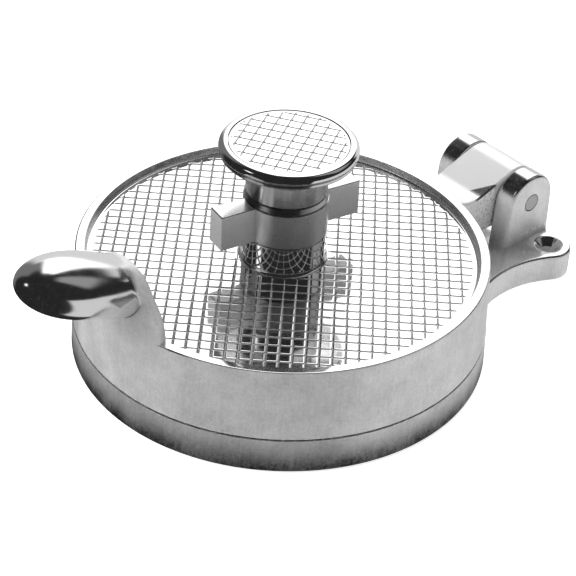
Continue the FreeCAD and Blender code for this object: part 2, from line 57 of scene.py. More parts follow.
lidBox = nodeBox("lid_casting")
tubeBox = nodeBox("guide_tube")
pinBox = nodeBox("hinge_pin")
collarBox = nodeBox("wing_collar")
washerBox = nodeBox("stop_washer")
neckBox = nodeBox("knob_neck")
rimBox = nodeBox("knob_rim")
insertBox = nodeBox("knob_insert")
plateBox = nodeBox("press_plate")


view = {
    "turn": 47.23,           # round the press, away from the handle's side
    "rise": 35.4,            # above the table
    "roll": 3.43,
    "origin": (-3.08, -15.65, -598.8),   # where the camera sees the origin
    "lens": 120.5,
    "nearest": 0.01,         # metres
}


def aimCamera():
    turn = Matrix.Rotation(math.radians(-view["turn"]), 3, "Z")
    tilt = Matrix.Rotation(math.radians(view["rise"] - 90), 3, "X")
    roll = Matrix.Rotation(math.radians(-view["roll"]), 3, "Z")
    toCamera = roll @ tilt @ turn
    data = bpy.data.cameras.new("camera")
    data.lens = view["lens"]
    data.clip_start = view["nearest"]
    eye = bpy.data.objects.new("camera", data)
    facing = toCamera.transposed()
    eye.matrix_world = Matrix.Translation(facing @ Vector(view["origin"]) * -mm) @ facing.to_4x4()
    scene.collection.objects.link(eye)
    scene.camera = eye


aimCamera()
print("camera in place")


class Link:
    # an output socket that takes part in plain arithmetic
    def __init__(self, graph, node, output=0):
        self.graph = graph
        self.node = node
        self.socket = node.outputs[output] if node.outputs else None

    def out(self, output):
        return Link(self.graph, self.node, output)

    def maths(self, operation, first, second=0.0):
        return self.graph.make("ShaderNodeMath", {"operation": operation}, {0: first, 1: second})

    def __add__(self, other):
        return self.maths("ADD", self, other)

    def __sub__(self, other):
        return self.maths("SUBTRACT", self, other)

    def __rsub__(self, other):
        return self.maths("SUBTRACT", other, self)

    def __mul__(self, other):
        return self.maths("MULTIPLY", self, other)

    def __truediv__(self, other):
        return self.maths("DIVIDE", self, other)

    def __lt__(self, other):
        return self.maths("LESS_THAN", self, other)

    def __gt__(self, other):
        return self.maths("GREATER_THAN", self, other)

    def __abs__(self):
        return self.maths("ABSOLUTE", self)

    __radd__ = __add__
    __rmul__ = __mul__

    def sine(self):
        return self.maths("SINE", self)

    def nearest(self):
        return self.maths("ROUND", self)

    def atLeast(self, other):
        return self.maths("MAXIMUM", self, other)

    def atMost(self, other):
        return self.maths("MINIMUM", self, other)

    def root(self):
        return self.maths("SQRT", self)

    def step(self, low, high, start=0.0, end=1.0):
        # a soft step from start to end while the value goes from low to high
        return self.graph.make("ShaderNodeMapRange", {"interpolation_type": "SMOOTHSTEP"},
                               {"Value": self, "From Min": low, "From Max": high,
                                "To Min": start, "To Max": end})


class Graph:
    def __init__(self, tree):
        self.tree = tree
        tree.nodes.clear()

    def make(self, kind, settings=None, inputs=None, output=0):
        node = self.tree.nodes.new(kind)
        for name, value in (settings or {}).items():
            setattr(node, name, value)
        for name, value in (inputs or {}).items():
            if isinstance(value, Link):
                self.tree.links.new(value.socket, node.inputs[name])
            else:
                node.inputs[name].default_value = value
        return Link(self, node, output)

    def split(self, vector):
        parts = self.make("ShaderNodeSeparateXYZ", None, {0: vector})
        return parts, parts.out(1), parts.out(2)

    def join(self, x, y, z):
        return self.make("ShaderNodeCombineXYZ", None, {0: x, 1: y, 2: z})

    def noise(self, vector, scale, detail=3.0, rough=0.55):
        return self.make("ShaderNodeTexNoise", None,
                         {"Vector": vector, "Scale": scale, "Detail": detail, "Roughness": rough})

    def mixColour(self, factor, first, second):
        inputs = {0: factor, 6: first, 7: second}
        return self.make("ShaderNodeMix", {"data_type": "RGBA"}, inputs, 2)


def grey(level):
    return (level, level, level, 1.0)


lidWall = 62.3               # outer radius of the lid at its rim
lidRecess = 32.3             # height of the lid's pads
proudHalf = 24.0             # half the angle of the raised face under the handle
polish = {
    "colour": 0.93,
    "rough": 0.055,
    "smudge": 0.05,          # added roughness where the polish is worn
    "wave": 0.03,            # slow unevenness left by buffing
    "speckle": 0.06,         # dull pin marks in the polish
}
satin = {
    "colour": 0.65,
    "metal": 0.52,
    "rough": 0.46,
    "mottle": 0.42,
    "grain": 0.28,
    "parting": 11.8,         # height of the line between the castings, bright where it is nicked
    "nick": 0.45,
    # painted shade: how much darker the foot of a casting is painted, fading out by the next
    # height
    "footShade": 0.22,           # how much darker the foot is
    "footShadeTop": 9.0,
}


texture = {
    # scale, detail and roughness of each noise
    "cloud": (0.11, 4.0, 0.6),
    "speck": (1.1, 5.0, 0.65),
    "pit": (2.6, 2.0, 0.5),
    "streak": (1.0, 3.0, 0.6),
    "nick": (0.9, 2.0),
    "swell": (0.09, 1.0, 0.3),
    "stretch": (1.6, 0.12),  # the streaks' scale across and upwards
    # where each mark starts and where it is full, in its noise or in millimetres
    "pitEdge": (0.62, 0.74),
    "speckleEdge": (0.60, 0.70),
    "nickEdge": (0.53, 0.57),
    "wornEdge": (0.45, 0.70),
    "partingEdge": (0.2, 0.55),
    "faceEdge": (-5.0, 0.4),
    "speckShare": 0.8,       # specks and streaks in the mottle, against the clouds
    "streakShare": 0.35,
    "pitShade": 0.10,
    "blue": 1.005,           # how much bluer than grey a cast skin is
    "polishGrit": 0.03,      # how much specks change the roughness
    "satinGrit": 0.16,
    "waveStrength": 0.35,
    "grainDepth": 0.12,
}


def metalCoordinates(graph):
    place = graph.make("ShaderNodeTexCoord", None, None, "Object")
    point = graph.make("ShaderNodeVectorMath", {"operation": "SCALE"}, {0: place, "Scale": 1 / mm})
    return point, place.out("Normal")


def satinTint(graph, finish, point, cloud, speck, pit):
    # the grey of a cast skin: mottled, streaked and pitted
    x, y, z = graph.split(point)
    wide, tall = texture["stretch"]
    streak = graph.noise(graph.join(x * wide, y * wide, z * tall), *texture["streak"])
    mottle = (cloud - 0.5) + (speck - 0.5) * texture["speckShare"]
    mottle = (mottle + (streak - 0.5) * texture["streakShare"]) * finish["mottle"]
    level = mottle + finish["colour"] - pit.step(*texture["pitEdge"], 0.0, texture["pitShade"])
    if "parting" in finish:
        chipped = graph.noise(graph.join(x, y, 0.0), *texture["nick"])
        nicked = chipped.step(*texture["nickEdge"], 0.0, finish["nick"])
        line = abs(z - finish["parting"]).step(*texture["partingEdge"], 1.0, 0.0)
        level = level + line * nicked
        # painted shade: darker towards the bottom of the piece
        level = level - z.step(0.0, finish["footShadeTop"], finish["footShade"], 0.0)
    if "face" in finish:
        intoFace = abs(x) + y * math.tan(math.radians(proudHalf))
        level = level + intoFace.step(*texture["faceEdge"], finish["face"], 0.0)
    return graph.join(level, level, level * texture["blue"])


def metalSurface(name, satinShare, finish=satin, shine=polish):
    # satinShare(graph, point, facing) says how far the surface is satin, from 0 to 1
    material = bpy.data.materials.new(name)
    material.use_nodes = True
    graph = Graph(material.node_tree)
    point, facing = metalCoordinates(graph)
    share = satinShare(graph, point, facing)
    cloud = graph.noise(point, *texture["cloud"])
    speck = graph.noise(point, *texture["speck"])
    pit = graph.noise(point, *texture["pit"])

    colour = grey(shine["colour"])
    if share != 0:
        colour = graph.mixColour(share, colour, satinTint(graph, finish, point, cloud, speck, pit))
    worn = cloud.step(*texture["wornEdge"], 0.0, shine["smudge"])
    worn = worn + (speck - 0.5) * texture["polishGrit"]
    skinRough = (speck - 0.5) * texture["satinGrit"] + finish["rough"]
    rough = (worn + shine["rough"]) * (1 - share) + skinRough * share
    metal = 1 - share * (1 - finish["metal"])
    speckle = pit.step(*texture["speckleEdge"], 0.0, shine["speckle"])
    metal = metal - speckle * (1 - share)
    if "pale" in shine:
        # unpolished, but for one buffed corner
        tipAcross, tipAlong, lean, end = shine["buffed"]
        x, y = graph.split(point)[:2]
        corner = ((x - tipAcross) - (y - tipAlong) * lean).step(-0.4, 0.5)
        corner = corner * (y - tipAlong).step(-1.2, -0.2) * y.step(end, end + 1.0, 1.0, 0.0)
        metal = metal - (1 - share) * (1 - corner) * shine["pale"]
        rough = rough - corner * (shine["rough"] - shine["buffedRough"])

    wave = graph.make("ShaderNodeBump", None, {
        "Strength": texture["waveStrength"], "Distance": shine["wave"] * mm,
        "Height": graph.noise(point, *texture["swell"])})
    grain = graph.make("ShaderNodeBump", None, {
        "Strength": share * finish["grain"], "Distance": texture["grainDepth"] * mm,
        "Height": speck + pit * 0.5, "Normal": wave})
    shader = graph.make("ShaderNodeBsdfPrincipled", None, {
        "Base Color": colour, "Metallic": metal, "Roughness": rough, "Normal": grain})
    graph.make("ShaderNodeOutputMaterial", None, {"Surface": shader})
    return material


skin = {
    "upward": (0.30, 0.62),      # a casting is buffed where it faces up this much
    "lidUpward": (0.60, 0.88),
    "lidInside": (30.0, 40.0),   # the lid turns half satin between these radii
    "lidOutside": (1.2, 0.6),    # and fully satin this near to its wall's surface
    "groove": (0.05, 0.16),      # depth under a pad's top
}


def facesUp(graph, point, facing):
    # castings are buffed on top and left satin on their sides
    return graph.split(facing)[2].step(*skin["upward"], 1.0, 0.0)


def lidSatin(graph, point, facing):
    # the outer wall is satin and the recess's wall half satin; the boss and the tops are polished
    x, y = graph.split(point)[:2]
    radius = (x * x + y * y).root()
    start, end = skin["lidOutside"]
    dull = radius.step(*skin["lidInside"], 0.0, 0.5)
    dull = dull + radius.step(lidWall - start, lidWall - end, 0.0, 0.5)
    return graph.split(facing)[2].step(*skin["lidUpward"], 1.0, 0.0) * dull


def grooveSatin(top):
    # a waffle's grooves keep their casting skin, with a darker grey painted in as shade in the
    # grooves
    def share(graph, point, facing):
        return (top - graph.split(point)[2]).step(*skin["groove"])
    return share


def handleSatin(graph, point, facing):
    return graph.make("ShaderNodeAttribute", {"attribute_name": "satin"}, None, "Fac")


def allPolished(graph, point, facing):
    return 0.0


def allSatin(graph, point, facing):
    return 1.0


# cast skins: the dish has painted shade, darker towards its foot; the hinge is paler, and so is
# the lid's raised face
dishSatin = dict(satin, colour=0.60, metal=0.62, footShade=0.56, footShadeTop=11.8)
hingeSatin = dict(satin, colour=0.80, footShade=0.10)
faceSatin = dict(satin, face=0.11)
# satin parts without a parting line
# the grooves' satin skin, its grey darkened as painted shade in the grooves
grooveSkinAndShade = {"colour": 0.46, "metal": 0.40, "rough": 0.5, "mottle": 0.12, "grain": 0.1}
sanded = {"colour": 0.86, "metal": 0.95, "rough": 0.30, "mottle": 0.26, "grain": 0.22}
wingSatin = {"colour": 0.80, "metal": 0.55, "rough": 0.40, "mottle": 0.24, "grain": 0.24}
turnedSteel = {"colour": 0.55, "metal": 1.0, "rough": 0.24, "mottle": 0.08, "grain": 0.06}
# polishes
brightPolish = {"colour": 0.93, "rough": 0.05, "smudge": 0.02, "wave": 0.01, "speckle": 0.03}
handlePolish = dict(polish, rough=0.13)
dullPolish = {"colour": 0.80, "rough": 0.13, "smudge": 0.06, "wave": 0.05, "speckle": 0.20}
turnedPolish = {"colour": 0.88, "rough": 0.17, "smudge": 0.04, "wave": 0.01, "speckle": 0.1}
palePolish = {
    "colour": 0.88, "rough": 0.34, "smudge": 0.10, "wave": 0.05, "speckle": 0.2,
    "pale": 0.46,            # how far it is from bare metal
    # the buffed corner: its tip across and along, the lean of its side, its far end
    "buffed": (3.2, 74.6, 0.72, 84.5),
    "buffedRough": 0.16,
}

castLid = metalSurface("cast_lid", lidSatin, faceSatin)
castDish = metalSurface("cast_dish", facesUp, dishSatin, dullPolish)
castBase = metalSurface("cast_base", facesUp, hingeSatin, dullPolish)
castTongue = metalSurface("cast_tongue", facesUp, hingeSatin, palePolish)
castHandle = metalSurface("cast_handle", handleSatin, faceSatin, handlePolish)
lidPads = metalSurface("lid_pads", grooveSatin(lidRecess), grooveSkinAndShade, brightPolish)
knobPads = metalSurface("knob_pads", grooveSatin(insertBox[1].z), grooveSkinAndShade, brightPolish)
knobMetal = metalSurface("knob_metal", allPolished, satin, brightPolish)
neckMetal = metalSurface("neck_metal", allPolished, satin, turnedPolish)
collarMetal = metalSurface("collar_metal", facesUp, sanded, dullPolish)
wingMetal = metalSurface("wing_metal", facesUp, wingSatin, dullPolish)
steelMetal = metalSurface("turned_steel", allSatin, turnedSteel, brightPolish)

rubberLook = {
    "shades": (0.012, 0.03),
    "rough": (0.5, 0.7),
    "speck": (3.0, 4.0),     # scale and detail
    "bump": 0.3,
    "bumpDepth": 0.05,
}


def rubberSurface():
    material = bpy.data.materials.new("black_rubber")
    material.use_nodes = True
    graph = Graph(material.node_tree)
    point = metalCoordinates(graph)[0]
    speck = graph.noise(point, *rubberLook["speck"])
    dark, light = rubberLook["shades"]
    smooth, coarse = rubberLook["rough"]
    bump = graph.make("ShaderNodeBump", None, {
        "Strength": rubberLook["bump"], "Distance": rubberLook["bumpDepth"] * mm, "Height": speck})
    shader = graph.make("ShaderNodeBsdfPrincipled", None, {
        "Base Color": graph.mixColour(speck, grey(dark), grey(light)),
        "Roughness": speck * (coarse - smooth) + smooth, "Normal": bump})
    graph.make("ShaderNodeOutputMaterial", None, {"Surface": shader})
    return material


rubber = rubberSurface()
print("materials made")


def rounded(corners, steps=6, support=0.2):
    # a closed outline; a corner given as (a, b, radius) becomes an arc between two short straights
    points = []
    count = len(corners)
    for index, corner in enumerate(corners):
        here = Vector(corner[:2])
        radius = corner[2] if len(corner) > 2 else 0
        if not radius:
            points.append(here)
            continue
        back = (Vector(corners[index - 1][:2]) - here).normalized()
        ahead = (Vector(corners[(index + 1) % count][:2]) - here).normalized()
        half = back.angle(ahead) / 2
        reach = radius / math.tan(half)
        centre = here + (back + ahead).normalized() * radius / math.sin(half)
        start = here + back * reach - centre
        sweep = start.angle_signed(here + ahead * reach - centre)
        points.append(here + back * (reach + support * radius))
        for step in range(steps + 1):
            points.append(centre + Matrix.Rotation(-sweep * step / steps, 2) @ start)
        points.append(here + ahead * (reach + support * radius))
    return points


def upright(a, b, height):
    return Vector((a, b, height))


def sideways(a, b, height):
    # an outline in the side view, its height counted along X
    return Vector((height, a, b))


def lathe(bm, outline, segments, place=upright):
    # turns an outline of (radius, height) points about the axis
    # an outline that ends on the axis is closed there with fans
    onAxis = outline[0][0] == 0
    rings = []
    for radius, height in outline:
        if radius == 0:
            rings.append([bm.verts.new(place(0, 0, height) * mm)])
            continue
        ring = []
        for index in range(segments):
            angle = 2 * math.pi * index / segments
            point = place(radius * math.cos(angle), radius * math.sin(angle), height)
            ring.append(bm.verts.new(point * mm))
        rings.append(ring)
    pairs = list(zip(rings, rings[1:]))
    if not onAxis:
        pairs.append((rings[-1], rings[0]))
    for first, second in pairs:
        if len(first) == 1 and len(second) == 1:
            continue
        for index in range(segments):
            after = (index + 1) % segments
            corners = [first[index % len(first)], first[after % len(first)],
                       second[after % len(second)], second[index % len(second)]]
            bm.faces.new(list(dict.fromkeys(corners)))


def insetLoop(outline, depth):
    # the outline moved inwards; it runs anticlockwise
    sharpest = 0.4           # keeps the points of sharp corners near
    moved = []
    count = len(outline)
    for index, here in enumerate(outline):
        back = (here - outline[index - 1]).normalized()
        ahead = (outline[(index + 1) % count] - here).normalized()
        firstNormal = Vector((-back.y, back.x))
        secondNormal = Vector((-ahead.y, ahead.x))
        middle = (firstNormal + secondNormal).normalized()
        moved.append(here + middle * depth / max(sharpest, middle.dot(firstNormal)))
    return moved


def slab(bm, outline, low, high, edges, place, steps=5):
    # a plate with the given outline and its two rims rounded
    # place turns (a, b, height) into a point
    outline = [Vector(point) for point in outline]
    area = sum(a.x * b.y - b.x * a.y for a, b in zip(outline, outline[1:] + outline[:1]))
    if area < 0:
        outline.reverse()

    def rim(edge):
        # a quarter round, with a loop more on either side to keep the flats flat
        levels = [(edge * 1.3, 0.0), (edge, 0.0)]
        for step in range(1, steps + 1):
            angle = math.pi / 2 * step / steps
            levels.append((edge * (1 - math.sin(angle)), edge * (1 - math.cos(angle))))
        return levels + [(0, edge * 1.2)]

    levels = [(inset, low + height) for inset, height in rim(edges[0])]
    levels += [(inset, high - height) for inset, height in reversed(rim(edges[1]))]
    loops = []
    for inset, height in levels:
        loop = insetLoop(outline, inset)
        loops.append([bm.verts.new(place(point.x, point.y, height) * mm) for point in loop])
    for first, second in zip(loops, loops[1:]):
        for index in range(len(first)):
            after = (index + 1) % len(first)
            bm.faces.new([first[index], first[after], second[after], second[index]])
    bm.faces.new(loops[0][::-1])
    bm.faces.new(loops[-1])


def smoothOutwards(bm):
    bmesh.ops.recalc_face_normals(bm, faces=bm.faces)
    for face in bm.faces:
        face.smooth = True


def objectFrom(bm, name):
    # uses up the bmesh
    mesh = bpy.data.meshes.new(name)
    bm.to_mesh(mesh)
    bm.free()
    made = bpy.data.objects.new(name, mesh)
    scene.collection.objects.link(made)
    return made


def finish(bm, name, body, slot, material, replaced=(), crease=42):
    # closes a piece: merged points, outward faces, smooth shading, and its place in the frame
    mergeGap = 0.0005
    bmesh.ops.remove_doubles(bm, verts=bm.verts, dist=mergeGap * mm)
    smoothOutwards(bm)
    piece = objectFrom(bm, name)
    piece.data.set_sharp_from_angle(angle=math.radians(crease))
    piece.data.materials.append(material)
    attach(piece, body)
    if replaced:
        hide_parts(*replaced)
    return piece


def cutAway(bm, cutters):
    # a closed shell without the cutters' shapes
    smoothOutwards(bm)
    shell = objectFrom(bm, "blank")
    tools = []
    for cutter in cutters:
        smoothOutwards(cutter)
        tool = objectFrom(cutter, "cutter")
        modifier = shell.modifiers.new("cut", "BOOLEAN")
        modifier.operation = "DIFFERENCE"
        modifier.solver = "EXACT"
        modifier.object = tool
        tools.append(tool)
    graph = bpy.context.evaluated_depsgraph_get()
    result = bpy.data.meshes.new_from_object(shell.evaluated_get(graph))
    cut = bmesh.new()
    cut.from_mesh(result)
    bpy.data.meshes.remove(result)
    for spare in tools + [shell]:
        bpy.data.objects.remove(spare)
    return cut


def waffleTree():
    # a flat sheet of bevelled pads between crossing grooves, cut to a ring
    tree = bpy.data.node_groups.new("waffle", "GeometryNodeTree")
    graph = Graph(tree)
    sizes = {
        "Pitch": 3.74, "Turn": 0.0, "Shift Across": 0.0, "Shift Along": 0.0, "Reach": 50.0,
        "Hole": 0.0, "Line End": 48.0, "Groove": 0.9, "Depth": 0.45, "Corner": 0.5, "Top": 0.0,
        "Wander": 0.1,
    }
    for name, value in sizes.items():
        socket = tree.interface.new_socket(name, in_out="INPUT", socket_type="NodeSocketFloat")
        socket.default_value = value
    cells = tree.interface.new_socket("Cells", in_out="INPUT", socket_type="NodeSocketInt")
    cells.default_value = 34
    tree.interface.new_socket("Metal", in_out="INPUT", socket_type="NodeSocketMaterial")
    tree.interface.new_socket("Geometry", in_out="OUTPUT", socket_type="NodeSocketGeometry")
    given = graph.make("NodeGroupInput")
    size = {name: given.out(name) for name in list(sizes) + ["Cells", "Metal"]}

    perCell = 10             # grid lines to a pad
    crowd = 0.8              # how far they are drawn together at the grooves, from 0 to 1
    edgeNoise = (0.5, 3.0)   # scale and detail of the wander in the pads' edges
    slope = (-0.02, 0.14)    # where a groove's side starts and ends, past the pad's edge
    lines = size["Cells"] * perCell + 1
    span = size["Cells"] * 1.0
    grid = graph.make("GeometryNodeMeshGrid", None,
                      {"Size X": span, "Size Y": span, "Vertices X": lines, "Vertices Y": lines})
    a, b = graph.split(graph.make("GeometryNodeInputPosition"))[:2]

    def crowded(count):
        return count - (count * (2 * math.pi)).sine() * (crowd / (2 * math.pi))

    u = crowded(a) * size["Pitch"]
    v = crowded(b) * size["Pitch"]
    half = size["Pitch"] * 0.5
    waver = (graph.noise(graph.join(u, v, 0.0), *edgeNoise) - 0.5) * size["Wander"]

    def fromPadEdge(value):
        # how far past the start of the pad's rounded corner this line lies
        away = abs(value - (value / size["Pitch"]).nearest() * size["Pitch"])
        return (half - away) - (half - size["Groove"] * 0.5 - size["Corner"])

    def length(first, second):
        return (first * first + second * second).root()

    across = fromPadEdge(u)
    along = fromPadEdge(v)
    outside = length(across.atLeast(0.0), along.atLeast(0.0))
    inside = across.atLeast(along).atMost(0.0)
    distance = outside + inside - size["Corner"] + waver
    angle = size["Turn"] * (math.pi / 180)
    cosine = graph.make("ShaderNodeMath", {"operation": "COSINE"}, {0: angle})
    sine = angle.sine()
    x = (u + size["Shift Across"]) * cosine - (v + size["Shift Along"]) * sine
    y = (u + size["Shift Across"]) * sine + (v + size["Shift Along"]) * cosine
    fade = (length(x, y) - size["Line End"]).step(-0.5, 0.0, 1.0, 0.0)
    z = size["Top"] - distance.step(*slope) * fade * size["Depth"]
    shaped = graph.make("GeometryNodeSetPosition", None,
                        {"Geometry": grid, "Position": graph.join(x * mm, y * mm, z * mm)})
    far = length(*graph.split(graph.make("GeometryNodeInputPosition"))[:2]) * (1 / mm)
    outer = graph.make("GeometryNodeDeleteGeometry", {"domain": "POINT"},
                       {"Geometry": shaped, "Selection": far > size["Reach"]})
    inner = graph.make("GeometryNodeDeleteGeometry", {"domain": "POINT"},
                       {"Geometry": outer, "Selection": far < size["Hole"]})
    real = graph.make("GeometryNodeRealizeInstances", None, {"Geometry": inner})
    coloured = graph.make("GeometryNodeSetMaterial", None,
                          {"Geometry": real, "Material": size["Metal"]})
    graph.make("NodeGroupOutput", None, {0: coloured})
    return tree


def waffleSheet(tree, sizes, thickness):
    # the evaluated sheet, closed underneath with a skirt and a flat back
    host = bpy.data.objects.new("waffle_host", bpy.data.meshes.new("waffle_host"))
    scene.collection.objects.link(host)
    modifier = host.modifiers.new("waffle", "NODES")
    modifier.node_group = tree
    for item in tree.interface.items_tree:
        if item.item_type == "SOCKET" and item.in_out == "INPUT" and item.name in sizes:
            modifier[item.identifier] = sizes[item.name]
    graph = bpy.context.evaluated_depsgraph_get()
    mesh = bpy.data.meshes.new_from_object(host.evaluated_get(graph))
    bpy.data.objects.remove(host)
    bm = bmesh.new()
    bm.from_mesh(mesh)
    bpy.data.meshes.remove(mesh)
    back = (sizes["Top"] - thickness) * mm
    for vert in [vert for vert in bm.verts if not vert.link_faces]:
        bm.verts.remove(vert)
    border = [edge for edge in bm.edges if edge.is_boundary]
    skirt = bmesh.ops.extrude_edge_only(bm, edges=border)["geom"]
    for vert in [item for item in skirt if isinstance(item, bmesh.types.BMVert)]:
        vert.co.z = back
    low = [item for item in skirt if isinstance(item, bmesh.types.BMEdge)]
    bmesh.ops.triangle_fill(bm, edges=low, use_beauty=False, use_dissolve=False)
    return bm


waffle = waffleTree()


lid = {
    "bottom": lidBox[0].z,
    "rim": 34.8,
    "recess": lidRecess,
    "wall": lidWall,
    "foot": 63.3,
    "footEdges": (0.3, 0.15),    # inside and outside
    "rimEdge": 0.5,
    "recessRadius": 59.3,
    "recessEdge": 0.35,
    "recessDraft": 0.15,     # how much narrower the recess is at its floor
    "cove": 1.0,
    "cavity": 57.5,
    "ceiling": 28.3,
    "ceilingCove": 1.5,
    "boss": 12.6,
    "bossTop": 41.7,
    "bossEdge": 0.4,
    "bossCove": 1.3,
    "bossLand": 1.9,         # width of the plain ring round the boss
    "bossLandDrop": 0.1,     # and how far it lies under the pads
    "bore": tubeBox[1].x - 2.5,  # the tube's flange is 2.5 wider than the tube
    "padThickness": 1.2,
    "padSeat": 0.8,          # share of it that is let into the shell
    "border": 57.6,
    "borderStep": 0.012,     # the plain border stands this much over the pads
    "borderEdge": 0.02,
    "proud": 0.16,           # raised face of the wall under the handle
    "proudDepth": 0.2,       # points this near to the wall's surface are raised
    "proudFoot": 0.5,        # from this height over the lid's foot
}
lidWaffle = {
    "Pitch": 3.74, "Turn": 46.5, "Reach": 58.5, "Hole": 13.3, "Line End": 57.4, "Groove": 0.30,
    "Depth": 0.22, "Corner": 0.22, "Top": lid["recess"], "Wander": 0.05, "Cells": 34,
}
lidCrossing = (50.1, -20.1)  # one crossing of two grooves


def crossingShift(sizes, crossing):
    # moves the pattern so that two grooves cross at the given point
    turn = Matrix.Rotation(math.radians(-sizes["Turn"]), 2)
    local = turn @ Vector(crossing)
    sizes["Shift Across"] = local.x - round(local.x / sizes["Pitch"]) * sizes["Pitch"]
    sizes["Shift Along"] = local.y - round(local.y / sizes["Pitch"]) * sizes["Pitch"]


def wallRadius(height):
    share = (height - lid["bottom"]) / (lid["rim"] - lid["bottom"])
    return lid["foot"] + (lid["wall"] - lid["foot"]) * share


def makeLid():
    border = lid["recess"] + lid["borderStep"]
    under = lid["recess"] - lid["padThickness"] * lid["padSeat"]
    land = lid["boss"] + lid["bossLand"]
    landTop = lid["recess"] - lid["bossLandDrop"]
    inner, outer = lid["footEdges"]
    bm = bmesh.new()
    lathe(bm, rounded([
        (lid["bore"], lid["ceiling"]),
        (lid["cavity"], lid["ceiling"], lid["ceilingCove"]),
        (lid["cavity"], lid["bottom"], inner),
        (lid["foot"], lid["bottom"], outer),
        (lid["wall"], lid["rim"], lid["rimEdge"]),
        (lid["recessRadius"], lid["rim"], lid["recessEdge"]),
        (lid["recessRadius"] - lid["recessDraft"], border, lid["cove"]),
        (lid["border"], border, lid["borderEdge"]),
        (lid["border"], under),
        (land, under),
        (land, landTop),
        (lid["boss"], landTop, lid["bossCove"]),
        (lid["boss"], lid["bossTop"], lid["bossEdge"]),
        (lid["bore"], lid["bossTop"]),
    ]), 360)
    for vert in bm.verts:
        radius = vert.co.xy.length
        height = vert.co.z / mm
        onSurface = radius > wallRadius(height) * mm - lid["proudDepth"] * mm
        turn = abs(math.degrees(math.atan2(vert.co.x, -vert.co.y)))
        if onSurface and height > lid["bottom"] + lid["proudFoot"] and turn < proudHalf:
            vert.co.xy *= 1 + lid["proud"] * mm / radius
    finish(bm, "lid_shell", "lid", "cast_aluminium", castLid, ["lid_casting"])
    crossingShift(lidWaffle, lidCrossing)
    lidWaffle["Metal"] = lidPads
    sheet = waffleSheet(waffle, lidWaffle, lid["padThickness"])
    finish(sheet, "lid_waffle", "lid", "polished_aluminium", lidPads, crease=75)


tongue = {
    "half": 9.55,
    "knuckle": 9.6,
    "root": 60.4,
    "rimY": 61.6,
    "rimDrop": 0.12,         # the root lies this much under the lid's rim
    "scoop": 12.6,
    "scoopY": 73.0,
    "edge": 0.9,
}
pinPlace = Vector(((pinBox[0].y + pinBox[1].y) / 2, (pinBox[0].z + pinBox[1].z) / 2))
pinRadius = (pinBox[1].z - pinBox[0].z) / 2


def arcPoints(centre, radius, start, end, steps):
    points = []
    for step in range(steps + 1):
        angle = math.radians(start + (end - start) * step / steps)
        across = centre[0] + radius * math.cos(angle)
        points.append(Vector((across, centre[1] + radius * math.sin(angle))))
    return points


def makeTongue():
    rise = math.sqrt(tongue["scoop"] ** 2 - (tongue["scoopY"] - tongue["rimY"]) ** 2)
    top = lid["rim"] - tongue["rimDrop"]
    scoop = Vector((tongue["scoopY"], top + rise))
    between = scoop - pinPlace
    lean = math.degrees(math.atan2(between.y, between.x))
    touch = lean - math.degrees(math.acos((tongue["knuckle"] + tongue["scoop"]) / between.length))
    rimAngle = math.degrees(math.atan2(-rise, tongue["rimY"] - scoop.x))
    edges = (tongue["edge"], tongue["edge"])
    outline = [Vector((tongue["root"], pinPlace.y - tongue["knuckle"]))]
    outline += arcPoints(pinPlace, tongue["knuckle"], -90, touch, 48)
    outline += arcPoints(scoop, tongue["scoop"], touch + 180, rimAngle + 360, 24)
    outline.append(Vector((tongue["root"], top)))
    bm = bmesh.new()
    slab(bm, outline, -tongue["half"], tongue["half"], edges, sideways)
    finish(bm, "lid_tongue", "lid", "cast_aluminium", castTongue)


handle = {
    "neckThick": 2.8,
    "neckWide": 17.0,        # half width and half height of the neck's oval
    "neckTall": 19.4,
    "neckZ": 34.0,
    "eggCentre": (0.0, -76.2, 52.9),
    "eggSize": (12.0, 19.4, 8.8),
    "tail": 28.0,            # the egg's length towards the neck
    "sag": 0.012,            # how fast its underside deepens that way
    "eggTilt": 21.0,
    "middle": (0.0, -60.1, 45.6),
    "edge": 1.1,
    "creaseBlend": 0.35,     # how softly the egg flows into the neck underneath
    "topBlend": 3.5,         # and on top
    "blendStart": -2.5,      # the change from one to the other, over the egg's middle
    "blendHeight": 4.0,
    "reach": 60.0,           # no point of it is further from its middle
    "satinStart": 0.05,      # the neck turns satin this far outside the egg
    "satinWidth": 0.4,
    "fineness": 7,
    "halvings": 30,
}


def softMinimum(first, second, width):
    mix = np.clip(0.5 + 0.5 * (second - first) / width, 0, 1)
    return second * (1 - mix) + first * mix - width * mix * (1 - mix)


def curled(points):
    # bends a flat slab about the press's axis
    angle = points[:, 0] / -handle["middle"][1]
    across = -points[:, 1] * np.sin(angle)
    along = points[:, 1] * np.cos(angle)
    return np.stack([across, along, points[:, 2]], axis=1)


